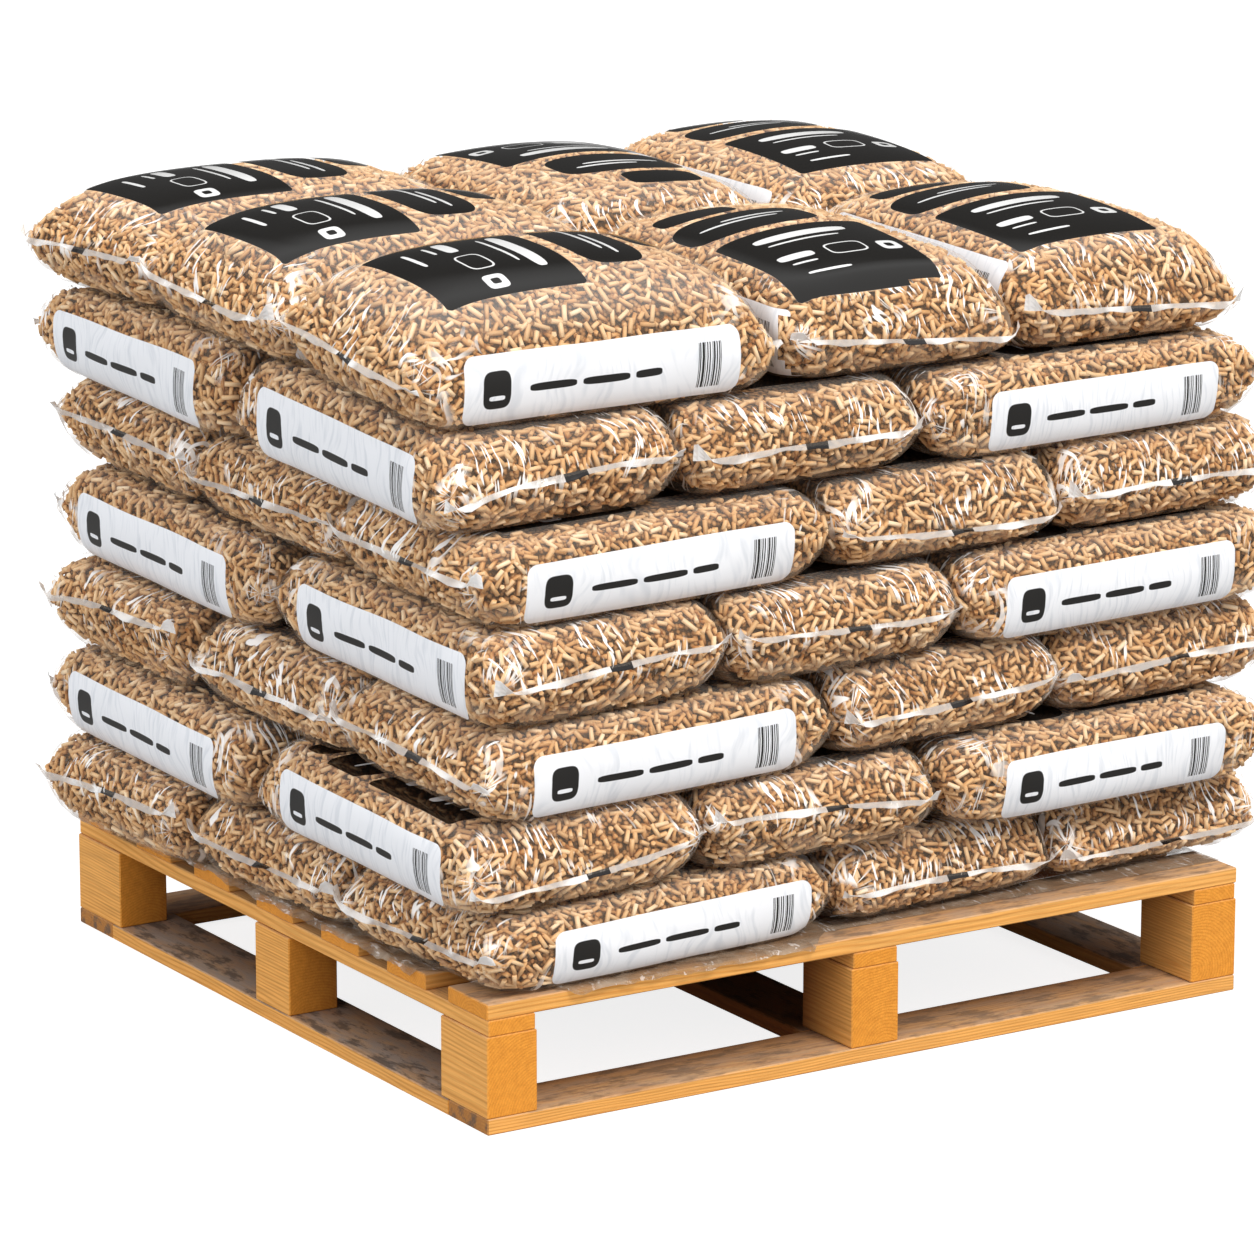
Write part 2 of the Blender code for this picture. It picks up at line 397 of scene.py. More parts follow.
def sack_places():
    """Every sack: layer, number, middle, length along X or not, outer end and outer side."""
    sacks = []
    for layer in range(len(LAYERS)):
        odd_bond = layer % 2 == 0
        number = 0
        for row in range(3):
            number += 1
            x = SACK_LENGTH / 2 if odd_bond else 2 * SACK_WIDTH + SACK_LENGTH / 2
            sacks.append({
                "layer": layer, "number": number, "along_x": True,
                "middle": (x, SACK_WIDTH * (row + 0.5)),
                "end": -1 if odd_bond else 1, "side": row - 1,
            })
        for column in range(2):
            for row in range(2):
                number += 1
                x = (SACK_LENGTH if odd_bond else 0.0) + SACK_WIDTH * (column + 0.5)
                outer = column == (1 if odd_bond else 0)
                sacks.append({
                    "layer": layer, "number": number, "along_x": False,
                    "middle": (x, SACK_LENGTH * (row + 0.5)),
                    "end": 2 * row - 1,
                    "side": (-1 if odd_bond else 1) if outer else 0,
                })
    return sacks


def sack_cage(long_cuts, wide_cuts, high_cuts):
    """A cube of half size 1 whose faces are cut into a grid."""
    cage = bmesh.new()
    bmesh.ops.create_cube(cage, size=2.0)
    for axis, cuts in enumerate((long_cuts, wide_cuts, high_cuts)):
        lines = [e for e in cage.edges
                 if abs(e.verts[0].co[axis] - e.verts[1].co[axis]) > 0.1]
        bmesh.ops.subdivide_edges(cage, edges=lines, cuts=cuts, use_grid_fill=True)
    return cage


# How high the tops of the three left sacks of the top layer are heaped, front to back
TOP_DOMES = (0.058, 0.050, 0.038)

# How much higher than usual the end welds of a sack lie, by layer and number, at its left,
# middle and right
SEAMS = {
    (6, 3): (-0.004, 0.007, 0.011), (6, 2): (0.011, -0.007, 0.002),
    (6, 1): (0.002, -0.003, -0.017), (6, 4): (0.018, 0.001, -0.015),
    (6, 6): (0.013, 0.001, -0.011), (5, 4): (-0.014, 0.018, 0.016),
    (5, 6): (0.005, 0.006, 0.004), (4, 3): (0.003, 0.010, 0.004),
    (4, 2): (-0.016, -0.001, 0.000), (4, 4): (0.001, -0.013, -0.018),
    (4, 6): (0.004, 0.006, 0.001), (3, 4): (0.001, 0.014, 0.018),
    (3, 6): (0.021, 0.012, 0.006), (2, 3): (-0.010, 0.018, 0.020),
    (2, 2): (-0.020, -0.008, -0.015), (2, 1): (-0.001, -0.005, -0.020),
    (2, 4): (0.000, 0.001, 0.011), (2, 6): (-0.006, 0.004, 0.002),
    (1, 4): (-0.022, -0.011, 0.011), (1, 6): (0.022, 0.018, -0.004),
    (0, 3): (0.000, 0.014, 0.016), (0, 2): (-0.005, -0.004, -0.007),
    (0, 1): (-0.010, -0.015, -0.008), (0, 4): (-0.010, -0.005, -0.020),
    (0, 6): (-0.019, -0.019, -0.019),
}


def seam_height(sack, b):
    """How far the end welds lie above the middle of the sack, from its one side to the other."""
    if sack["layer"] == TOP_LAYER:
        usual = 0.008 if sack["along_x"] else -0.013
    else:
        usual = 0.010 if sack["along_x"] else -0.004
    left, middle, right = SEAMS.get((sack["layer"], sack["number"]), (0.0, 0.0, 0.0))
    return usual + left * b * (b + 1) / 2 + middle * (1 - b * b) + right * b * (b - 1) / 2


def pillow(cage_points, shrink, sack):
    """Bends points of the cage to the shape of a filled sack lying level, its middle at 0."""
    a, b, c = cage_points.T
    chance = np.random.default_rng(100 * sack["layer"] + sack["number"])
    half_high = LAYER_HEIGHT / 2 - 0.0004 - shrink
    top_layer = sack["layer"] == TOP_LAYER
    fall = np.cos(c * math.pi / 2)
    above = 2 if top_layer else 1
    end_round, side_round, corner_round = (
        np.where(c > 0, sizes[above], sizes[0])
        for sizes in (END_ROUND, SIDE_ROUND, CORNER_AT_EDGE))
    wedge = 0.30 * np.abs(np.sin(c * math.pi / 2)) ** 1.3 + 0.70 * (1.0 - fall)
    half_long = SACK_LENGTH / 2 - 0.003 - shrink - end_round * wedge
    half_wide = SACK_WIDTH / 2 - 0.0015 - shrink - side_round * (1.0 - fall ** 0.75)
    corner = CORNER_AT_SEAM + (corner_round - CORNER_AT_SEAM) * np.abs(c) ** 0.6
    share = np.maximum(np.maximum(np.abs(a), np.abs(b)), 1e-6)
    edge_x = a / share * half_long
    edge_y = b / share * half_wide
    inner_x = np.clip(edge_x, corner - half_long, half_long - corner)
    inner_y = np.clip(edge_y, corner - half_wide, half_wide - corner)
    away = np.maximum(np.hypot(edge_x - inner_x, edge_y - inner_y), 1e-6)
    past_corner = (np.abs(edge_x) > np.abs(inner_x)) & (np.abs(edge_y) > np.abs(inner_y))
    round_x = inner_x + (edge_x - inner_x) / away * corner
    round_y = inner_y + (edge_y - inner_y) / away * corner
    x = np.where(past_corner, round_x, edge_x) * share
    y = np.where(past_corner, round_y, edge_y) * share
    z = np.sin(c * math.pi / 2) * half_high

    to_end = np.clip((np.abs(x) / (SACK_LENGTH / 2) - 0.50) / 0.50, 0.0, 1.0)
    to_side = np.clip((np.abs(y) / (SACK_WIDTH / 2) - 0.5) / 0.5, 0.0, 1.0)
    rise = np.maximum(np.sin(c * math.pi / 2), 0.0)
    z *= 1.0 - 0.08 * to_end ** 2
    if top_layer:
        height, power = (TOP_DOMES[sack["number"] - 1], 2.8) if sack["along_x"] else (0.032, 2.0)
        dome = 1.0 - np.abs(x / (SACK_LENGTH / 2)) ** power
        dome *= 1.0 - np.abs(y / (SACK_WIDTH / 2)) ** power
        z += rise * (height * dome - 0.007 * to_end ** 2 - 0.008 * to_side ** 2)
    seam = seam_height(sack, b) + chance.uniform(-0.003, 0.003)
    z += seam * to_end ** 0.5 * (1.0 - np.abs(c)) ** 1.5

    waves = np.zeros(len(x))
    for _ in range(5):
        pull = chance.uniform(10.0, 34.0, 3)
        waves += np.sin(pull[0] * x + pull[1] * y + pull[2] * z + chance.uniform(0.0, 6.28))
    soft = waves * 0.0010 * fall
    x += np.sign(x) * soft * to_end
    y += np.sign(y) * soft * to_side
    return np.stack([x, y, z], axis=1)


def in_stack(points, sack):
    """Moves points of a level sack to its place in the stack."""
    x, y, z = points.T
    if not sack["along_x"]:
        x, y = -y, x
    x = x + sack["middle"][0]
    y = y + sack["middle"][1]
    x = x - SLID_OUT.get((sack["layer"], sack["number"]), 0.0)
    shift_x, shift_y, turn = LAYERS[sack["layer"]]
    cos_turn, sin_turn = math.cos(math.radians(turn)), math.sin(math.radians(turn))
    world_x = shift_x + cos_turn * x - sin_turn * y - PALLET_LENGTH / 2
    world_y = shift_y + sin_turn * x + cos_turn * y - PALLET_DEPTH / 2
    leftward = np.clip(0.5 - world_x / PALLET_LENGTH, 0.0, 1.0)
    backward = np.clip(0.5 + world_y / PALLET_DEPTH, 0.0, 1.0)
    settled = []
    for back_left, front_left, front_right, bulge in SETTLED[sack["layer"]:sack["layer"] + 2]:
        left_side = back_left * backward + front_left * (1.0 - backward)
        left_side += bulge * 4.0 * backward * (1.0 - backward)
        right_side = front_right * (1.0 - backward)
        settled.append(left_side * leftward + right_side * (1.0 - leftward))
    share = np.clip(z / LAYER_HEIGHT + 0.5, 0.0, 1.0)
    world_z = z + (sack["layer"] + 0.5) * LAYER_HEIGHT + SACK_FLOOR
    world_z += settled[0] * (1.0 - share) + settled[1] * share
    return np.stack([world_x, world_y, world_z], axis=1)


def shows(point, sack):
    """True where a point of a level sack can be seen in the stack."""
    if sack["layer"] == TOP_LAYER and point[2] > -0.02:
        return True
    band = 0.085 if point[2] > 0 else 0.062
    at_end = point[0] * sack["end"] > SACK_LENGTH / 2 - band
    at_side = sack["side"] != 0 and point[1] * sack["side"] > SACK_WIDTH / 2 - band
    return at_end or at_side


def sack_shell(cage, shrink, sack):
    """The cage bent to a sack's shape, with the faces that nobody sees merged."""
    shell = cage.copy()
    shell.verts.ensure_lookup_table()
    level = pillow(np.array([v.co for v in shell.verts]), shrink, sack)
    seen = [shows(point, sack) for point in level]
    for vert, point in zip(shell.verts, level):
        vert.co = point
    hidden_edges = [e for e in shell.edges if not any(seen[v.index] for v in e.verts)]
    hidden_verts = [v for v in shell.verts
                    if not seen[v.index] and not any(seen[e.other_vert(v).index]
                                                     for e in v.link_edges)]
    bmesh.ops.dissolve_limit(shell, angle_limit=0.30, verts=hidden_verts, edges=hidden_edges)
    return shell


def new_piece(name, builder, *materials):
    mesh = bpy.data.meshes.new(name)
    builder.to_mesh(mesh)
    builder.free()
    for material in materials:
        mesh.materials.append(material)
    piece = bpy.data.objects.new(name, mesh)
    scene.collection.objects.link(piece)
    return piece


def level_places(mesh):
    places = np.zeros(len(mesh.vertices) * 3, dtype=np.float32)
    mesh.vertices.foreach_get("co", places)
    return places.reshape(-1, 3).astype(float)


def move_to_stack(mesh, sack):
    moved = in_stack(level_places(mesh), sack)
    mesh.vertices.foreach_set("co", moved.astype(np.float32).ravel())
    mesh.update()


def join_stack(piece, sack):
    """Hides the CAD solid that a finished piece of a sack stands for, and hangs the piece on the
    root body.
    """
    if sack["layer"] < FUSED_LAYERS:
        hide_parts("sacks_layer%d" % (sack["layer"] + 1))
    else:
        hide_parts("sack_layer%d_%d" % (sack["layer"] + 1, sack["number"]))
    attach(piece, "root")


sacks = sack_places()


# Pellets
# Pressed spruce rods, 7 mm thick and 12 to 24 mm long, lying at random against the film.
# Behind them is the bed of further pellets, pale brown with painted shade between them, which
# shows only in the gaps.
PELLET_RADIUS = 0.0034
PELLET_SPACING = 0.0089
BED_DEPTH = 0.0105
LABEL_HALF = (0.206, 0.0435)
LABEL_LIFT = -0.0095


def pellet_material():
    """Pale on the side towards the film, with painted shade the deeper a point lies behind it."""
    material, tree, shader = new_material("pellet_wood", {
        "Roughness": 0.6, "Specular IOR Level": 0.0})
    wood = ramp(tree, attribute(tree, "pellet_tone"),
                (0.0, (0.54, 0.315, 0.145)), (0.3, (0.69, 0.45, 0.24)),
                (0.7, (0.78, 0.54, 0.31)), (1.0, (0.87, 0.68, 0.46)))
    depth = maths(tree, "MULTIPLY", attribute(tree, "pellet_depth"), 100.0)
    painted_depth_shade = ramp(tree, depth,
                (0.20, (1.0, 1.0, 1.0)), (0.62, (0.88, 0.72, 0.54)), (1.0, (0.46, 0.25, 0.11)))
    wood = blend_colour(tree, 1.0, wood, painted_depth_shade, "MULTIPLY")
    link(tree, wood, shader.inputs["Base Color"])
    return material


def bed_material():
    material, tree, shader = new_material("pellet_bed", {
        "Roughness": 0.7, "Specular IOR Level": 0.0})
    place = tree.nodes.new("ShaderNodeTexCoord").outputs["Object"]
    # Pale brown cells for the deeper pellets, with painted shade, nearly black, where the cells
    # meet.
    lump = new_node(tree, "ShaderNodeTexVoronoi", {"Vector": place, "Scale": 150.0})
    depth = ramp(tree, lump.outputs["Distance"], (0.10, (0.50, 0.27, 0.115)),
                 (0.42, (0.28, 0.13, 0.045)), (0.62, (0.05, 0.022, 0.008)))
    link(tree, depth, shader.inputs["Base Color"])
    return material


def pellet_group(material):
    """Node tree that lays pellets under the faces marked lay, and sinks the bed behind them."""
    tree, ends_in, ends_out = new_group(
        "lay_pellets", [("Geometry", "Geometry"), ("Seed", "Int")], [("Geometry", "Geometry")],
        "GeometryNodeTree")
    surface = ends_in.outputs["Geometry"]

    def chance(low, high, extra):
        seed = maths(tree, "ADD", ends_in.outputs["Seed"], extra)
        return new_node(tree, "FunctionNodeRandomValue", {2: low, 3: high, "Seed": seed},
                        data_type="FLOAT").outputs[1]

    def scaled(vector, factor):
        return new_node(tree, "ShaderNodeVectorMath", {0: vector, "Scale": factor},
                        operation="SCALE").outputs[0]

    def stored(geometry, name, data_type, domain, value):
        return new_node(tree, "GeometryNodeStoreNamedAttribute", {
            "Name": name, "Geometry": geometry, "Value": value},
            data_type=data_type, domain=domain).outputs[0]

    def named(name, data_type):
        return new_node(tree, "GeometryNodeInputNamedAttribute", {"Name": name},
                        data_type=data_type).outputs[0]

    spread = new_node(tree, "GeometryNodeDistributePointsOnFaces", {
        "Mesh": surface, "Selection": named("lay", "BOOLEAN"), "Distance Min": PELLET_SPACING,
        "Density Max": 26000.0, "Seed": ends_in.outputs["Seed"]}, distribute_method="POISSON")

    tilt = maths(tree, "MULTIPLY", maths(tree, "POWER", chance(0.0, 1.0, 1), 4.0), 1.4)
    length = chance(0.012, 0.024, 2)
    dip = maths(tree, "MULTIPLY", maths(tree, "MULTIPLY", length, 0.5),
                maths(tree, "SINE", tilt))
    dip = maths(tree, "ADD", dip, chance(0.0041, 0.0092, 6))
    points = stored(spread.outputs["Points"], "film_place", "FLOAT_VECTOR", "POINT",
                    tree.nodes.new("GeometryNodeInputPosition").outputs[0])
    points = stored(points, "film_normal", "FLOAT_VECTOR", "POINT", spread.outputs["Normal"])
    lowered = new_node(tree, "GeometryNodeSetPosition", {
        "Geometry": points,
        "Offset": scaled(spread.outputs["Normal"], maths(tree, "MULTIPLY", dip, -1.0))})

    turned = vector_of(tree, maths(tree, "SUBTRACT", math.pi / 2, tilt), 0.0,
                       chance(0.0, 2 * math.pi, 3))
    as_rotation = new_node(tree, "FunctionNodeEulerToRotation", {0: turned})
    rotated = new_node(tree, "FunctionNodeRotateRotation", {
        0: spread.outputs["Rotation"], 1: as_rotation.outputs[0]}, rotation_space="LOCAL")

    rod = new_node(tree, "GeometryNodeMeshCylinder", {
        "Vertices": 5, "Radius": PELLET_RADIUS, "Depth": 1.0})
    flat = new_node(tree, "GeometryNodeSetShadeSmooth", {
        "Geometry": rod.outputs["Mesh"], "Shade Smooth": False})
    curved = new_node(tree, "GeometryNodeSetShadeSmooth", {
        "Geometry": flat.outputs[0], "Selection": rod.outputs["Side"]})
    painted = new_node(tree, "GeometryNodeSetMaterial", {
        "Geometry": curved.outputs[0], "Material": material})

    width = chance(0.90, 1.08, 4)
    laid = new_node(tree, "GeometryNodeInstanceOnPoints", {
        "Points": lowered.outputs[0], "Instance": painted.outputs[0],
        "Rotation": rotated.outputs[0], "Scale": vector_of(tree, width, width, length)})
    toned = stored(laid.outputs[0], "pellet_tone", "FLOAT", "INSTANCE", chance(0.0, 1.0, 5))
    real = new_node(tree, "GeometryNodeRealizeInstances", {0: toned})
    here = tree.nodes.new("GeometryNodeInputPosition").outputs[0]
    behind = vector_maths(tree, "SUBTRACT", named("film_place", "FLOAT_VECTOR"), here)
    depth = vector_maths(tree, "DOT_PRODUCT", behind, named("film_normal", "FLOAT_VECTOR"))
    deep = stored(real.outputs[0], "pellet_depth", "FLOAT", "POINT", depth)

    normal = tree.nodes.new("GeometryNodeInputNormal").outputs[0]
    bed = new_node(tree, "GeometryNodeSetPosition", {
        "Geometry": surface, "Offset": scaled(normal, -BED_DEPTH)})
    joined = tree.nodes.new("GeometryNodeJoinGeometry")
    link(tree, deep, joined.inputs[0])
    link(tree, bed.outputs[0], joined.inputs[0])
    link(tree, joined.outputs[0], ends_out.inputs[0])
    return tree


pellet_wood = pellet_material()
pellet_bed = bed_material()
lay_pellets = pellet_group(pellet_wood)
bed_cage = sack_cage(19, 13, 7)


def under_label(point):
    return (abs(point[0]) < LABEL_HALF[0] - 0.030
            and abs(point[2] - LABEL_LIFT) < LABEL_HALF[1] - 0.008
            and abs(point[1]) > 0.13)


for sack in sacks:
    surface = sack_shell(bed_cage, 0.0006, sack)
    open_faces = []
    for face in surface.faces:
        face.smooth = True
        middle = face.calc_center_median()
        open_faces.append(shows(middle, sack) and not under_label(middle))
    name = "pellets_%d_%d" % (sack["layer"] + 1, sack["number"])
    piece = new_piece(name, surface, pellet_bed)
    lay = piece.data.attributes.new("lay", "BOOLEAN", "FACE")
    lay.data.foreach_set("value", open_faces)
    modifier = piece.modifiers.new("lay_pellets", "NODES")
    modifier.node_group = lay_pellets
    seed_socket = lay_pellets.interface.items_tree["Seed"].identifier
    modifier[seed_socket] = 100 * sack["layer"] + 10 * sack["number"]
    evaluated = piece.evaluated_get(bpy.context.evaluated_depsgraph_get())
    finished = bpy.data.meshes.new_from_object(evaluated)
    piece.modifiers.clear()
    piece.data = finished
    for spare in ("film_place", "film_normal", "lay"):
        finished.attributes.remove(finished.attributes[spare])
    move_to_stack(finished, sack)
    join_stack(piece, sack)


# Sack film
# Clear film, 0.1 mm thick, tight over the pellets, with white panels printed on its long
# sides and black ones on its upper face. It creases towards both end welds, under painted
# highlights.
def rounded_box_group():
    """1 inside a rounded rectangle round the origin of two coordinates, 0 outside."""
    names = ("Across", "Up", "Half Width", "Half Height", "Corner")
    group, ends_in, ends_out = new_group(
        "rounded_box", [(name, "Float") for name in names], [("Mask", "Float")])
    corner = ends_in.outputs["Corner"]
    squares = []
    for place, half in (("Across", "Half Width"), ("Up", "Half Height")):
        inner = maths(group, "SUBTRACT", ends_in.outputs[half], corner)
        past = maths(group, "SUBTRACT", maths(group, "ABSOLUTE", ends_in.outputs[place]), inner)
        squares.append(maths(group, "POWER", maths(group, "MAXIMUM", past, 0.0), 2.0))
    away = maths(group, "SQRT", maths(group, "ADD", squares[0], squares[1]))
    outside = maths(group, "SUBTRACT", away, corner)
    mask = maths(group, "MULTIPLY", outside, -1500.0, clamp=True)
    link(group, mask, ends_out.inputs["Mask"])
    return group


rounded_box = rounded_box_group()


def rounded_mask(tree, across, up, middle, half, corner):
    across = maths(tree, "SUBTRACT", across, middle[0])
    up = maths(tree, "SUBTRACT", up, middle[1])
    return grouped(tree, rounded_box, across, up, *half, corner)["Mask"]


def soft_mask(tree, place, middle, half):
    """1 inside a rectangle with very round corners, 0 outside."""
    centred = vector_maths(tree, "MULTIPLY_ADD", place, (1.0 / half[0], 1.0 / half[1], 0.0),
                           (-middle[0] / half[0], -middle[1] / half[1], 0.0))
    squared = vector_maths(tree, "MULTIPLY", centred, centred)
    reach = vector_maths(tree, "DOT_PRODUCT", squared, squared)
    sharp = 300.0 * max(half)
    return maths(tree, "MULTIPLY_ADD", reach, -sharp, sharp, clamp=True)


def any_mask(tree, masks):
    whole = masks[0]
    for mask in masks[1:]:
        whole = maths(tree, "MAXIMUM", whole, mask)
    return whole


def all_masks(tree, *masks):
    whole = masks[0]
    for mask in masks[1:]:
        whole = maths(tree, "MULTIPLY", whole, mask)
    return whole


def bright_part(tree, field, low, high):
    """0 below low, 1 above high, and smooth between them."""
    return new_node(tree, "ShaderNodeMapRange", {
        "Value": field, "From Min": low, "From Max": high},
        interpolation_type="SMOOTHSTEP").outputs["Result"]


def dark_part(tree, field, low, high):
    return maths(tree, "SUBTRACT", 1.0, bright_part(tree, field, low, high))


def streaks_group():
    """Noise for painted highlights on creases: across the film's ends, up its sides, and where
    they gather.
    """
    group, ends_in, ends_out = new_group(
        "film_streaks", [("Place", "Vector"), ("Shift", "Vector")],
        [("End", "Float"), ("Side", "Float"), ("Patch", "Float")])
    shift = ends_in.outputs["Shift"]
    warp = noise_field(group, shift, 16.0, 0.0, 0.5)
    bend = vector_maths(group, "MULTIPLY_ADD", warp, (0.045, 0.045, 0.030),
                        ends_in.outputs["Place"])
    link(group, noise_field(group, bend, (24.0, 190.0, 24.0), 1.0), ends_out.inputs["End"])
    link(group, noise_field(group, bend, (160.0, 16.0, 16.0), 1.0), ends_out.inputs["Side"])
    link(group, noise_field(group, shift, 18.0, 0.0), ends_out.inputs["Patch"])
    return group


film_streaks = streaks_group()
PRINT_BLACK = (0.010, 0.009, 0.008)


def film_material(name, weld_strip=False, side_label=False, top_art=False):
    """Clear film with painted highlights on its creases, painted sheen above, its dust, and its
    print.
    """
    material, tree, shader = new_material(name, {"Roughness": 0.12, "IOR": 1.42})
    place = attribute(tree, "sack_place", "Vector")
    along, across, up = parts_of(tree, place)
    world = tree.nodes.new("ShaderNodeTexCoord").outputs["Object"]
    shifted = vector_maths(tree, "ADD", place, stretched(tree, world, (0.31, 0.31, 0.31)))
    streaks = grouped(tree, film_streaks, shifted, world)

    far_along = maths(tree, "ABSOLUTE", along)
    far_across = maths(tree, "ABSOLUTE", across)
    near_end = bright_part(tree, far_along, 0.150, 0.235)
    near_side = bright_part(tree, far_across, 0.130, 0.165)
    above_seam = bright_part(tree, up, -0.025, 0.005)
    patch = bright_part(tree, streaks["Patch"], 0.40, 0.60)
    # Painted highlights: white glints along the creases near the ends and up the sides.
    end_glints = all_masks(tree, bright_part(tree, streaks["End"], 0.570, 0.640),
                          near_end, patch, above_seam)
    side_glints = all_masks(tree, bright_part(tree, streaks["Side"], 0.575, 0.64),
                           near_side, patch, bright_part(tree, far_along, 0.10, 0.22))
    white = maths(tree, "MAXIMUM", end_glints, maths(tree, "MULTIPLY", side_glints, 0.8))
    if weld_strip:
        # Painted highlights fanning out from the corners where the film gathers.
        round_corner = maths(tree, "SUBTRACT", maths(tree, "SUBTRACT", 0.283, far_along),
                             maths(tree, "SUBTRACT", 0.180, far_across))
        away = maths(tree, "SQRT", maths(tree, "ADD", maths(tree, "POWER", round_corner, 2.0),
                                         maths(tree, "POWER", up, 2.0)))
        around = maths(tree, "ARCTAN2", up, round_corner)
        fan = vector_of(tree, maths(tree, "MULTIPLY", around, 8.0),
                        maths(tree, "MULTIPLY", away, 5.0))
        fanned = vector_maths(tree, "ADD", fan, stretched(tree, world, (7.0, 7.0, 7.0)))
        rays = noise_field(tree, fanned, 1.0, 1.0)
        gather_glints = all_masks(tree, bright_part(tree, rays, 0.54, 0.66),
                            dark_part(tree, away, 0.016, 0.060),
                            bright_part(tree, streaks["Patch"], 0.35, 0.65))
        white = maths(tree, "MAXIMUM", white, gather_glints)

    dust = noise_field(tree, world, 34.0, 0.0)
    dusty = all_masks(tree, bright_part(tree, dust, 0.35, 0.70),
                      dark_part(tree, up, -0.040, -0.012))
    dusty = maths(tree, "MULTIPLY", dusty, 0.7)
    # Painted sheen: the film is paler and a little less clear on the upper face, where it
    # reflects the room.
    painted_top_sheen = bright_part(tree, up, 0.030, 0.080)
    clear = blend_colour(tree, painted_top_sheen, (0.80, 0.66, 0.52), (0.86, 0.82, 0.78))
    clear = blend_colour(tree, dusty, clear, (0.40, 0.29, 0.20))
    colour = blend_colour(tree, white, clear, (0.96, 0.94, 0.92))
    alpha = maths(tree, "ADD", maths(tree, "MULTIPLY", dusty, 0.5), 0.06)
    alpha = maths(tree, "ADD", alpha, maths(tree, "MULTIPLY", painted_top_sheen, 0.10))
    alpha = maths(tree, "MAXIMUM", alpha, maths(tree, "MULTIPLY", white, 0.88))

    if weld_strip:
        weld = attribute(tree, "weld")
        tuft = bright_part(tree, far_across, 0.145, 0.160)
        fused = bright_part(tree, streaks["Patch"], 0.50, 0.66)
        fused = maths(tree, "MAXIMUM", fused, tuft)
        weld_colour = blend_colour(tree, fused, (0.48, 0.44, 0.41), (0.84, 0.83, 0.82))
        mark = maths(tree, "COMPARE", across, 0.010, 0.017)
        weld_colour = blend_colour(tree, mark, weld_colour, (0.012, 0.010, 0.010))
        colour = blend_colour(tree, weld, colour, weld_colour)
        welded = maths(tree, "ADD", maths(tree, "MULTIPLY", mark, 0.42), 0.56)
        welded = maths(tree, "ADD", welded, maths(tree, "MULTIPLY", tuft, 0.20), clamp=True)
        alpha = maths(tree, "MAXIMUM", alpha, maths(tree, "MULTIPLY", weld, welded))

    if side_label or top_art:
        print_along, label_up, top_across = parts_of(
            tree, attribute(tree, "print_place", "Vector"))

    if side_label:
        label = rounded_mask(tree, print_along, label_up, (0.0, 0.0), LABEL_HALF, 0.016)
        turned = maths(tree, "SIGN", maths(tree, "MULTIPLY", across, -1.0))
        reading = maths(tree, "MULTIPLY", print_along, turned)
        on_label = vector_of(tree, reading, label_up)
        pick = tree.nodes.new("ShaderNodeTexWhiteNoise")
        pick.noise_dimensions = "1D"
        step = maths(tree, "FLOOR", maths(tree, "MULTIPLY", reading, 1150.0))
        link(tree, step, pick.inputs["W"])
        bars = rounded_mask(tree, reading, label_up, (0.160, -0.003), (0.017, 0.029), 0.001)
        bars = maths(tree, "MULTIPLY", bars, maths(tree, "GREATER_THAN", pick.outputs[0], 0.42))
        tile = soft_mask(tree, on_label, (-0.158, 0.0), (0.021, 0.024))
        hole = soft_mask(tree, on_label, (-0.158, -0.010), (0.012, 0.003))
        marks = [maths(tree, "SUBTRACT", tile, hole), bars]
        for middle, half in ((-0.074, 0.035), (0.004, 0.035), (0.068, 0.021)):
            marks.append(soft_mask(tree, on_label, (middle, -0.003), (half, 0.0050)))
        # Painted shade of the label's wrinkles, drawn from the side crease noise.
        shade = ramp(tree, streaks["Side"], (0.30, (0.70, 0.72, 0.76)),
                     (0.50, (0.82, 0.83, 0.86)))
        shade = blend_colour(tree, any_mask(tree, marks), shade, PRINT_BLACK)
        colour = blend_colour(tree, label, colour, shade)
        alpha = maths(tree, "MAXIMUM", alpha, label)
        rough = maths(tree, "ADD", maths(tree, "MULTIPLY", label, 0.25), 0.12)
        link(tree, rough, shader.inputs["Roughness"])

    if top_art:
        panel = rounded_mask(tree, print_along, top_across, (0.095, 0.0), (0.104, 0.114), 0.008)
        print_face = vector_of(tree, print_along, top_across)
        blank = []
        for middle, half in (
            ((0.030, -0.004), (0.010, 0.072)), ((0.053, -0.012), (0.0025, 0.056)),
            ((0.105, -0.058), (0.009, 0.028)), ((0.128, -0.058), (0.0025, 0.020)),
            ((0.106, 0.020), (0.019, 0.030)), ((0.112, 0.085), (0.016, 0.016)),
            ((0.160, -0.040), (0.003, 0.034)),
        ):
            blank.append(soft_mask(tree, print_face, middle, half))
        frame_hole = soft_mask(tree, print_face, (0.106, 0.020), (0.0165, 0.0275))
        disc_hole = soft_mask(tree, print_face, (0.112, 0.085), (0.007, 0.007))
        holes = maths(tree, "MAXIMUM", frame_hole, disc_hole)
        blank = maths(tree, "MULTIPLY", panel, any_mask(tree, blank))
        blank = maths(tree, "SUBTRACT", blank, holes, clamp=True)
        motif = []
        for middle, half in (
            ((-0.078, -0.020), (0.050, 0.100)), ((-0.165, -0.045), (0.026, 0.060)),
            ((-0.078, -0.030), (0.0030, 0.062)), ((-0.092, 0.000), (0.0030, 0.050)),
        ):
            motif.append(soft_mask(tree, print_face, middle, half))
        stripes = maths(tree, "MAXIMUM", motif.pop(), motif.pop())
        top_print = maths(tree, "MAXIMUM", panel, any_mask(tree, motif))
        pale = maths(tree, "MAXIMUM", blank, stripes)
        ink = blend_colour(tree, pale, PRINT_BLACK, (0.80, 0.80, 0.80))
        colour = blend_colour(tree, top_print, colour, ink)
        alpha = maths(tree, "MAXIMUM", alpha, top_print)

    link(tree, colour, shader.inputs["Base Color"])
    link(tree, alpha, shader.inputs["Alpha"])
    return material


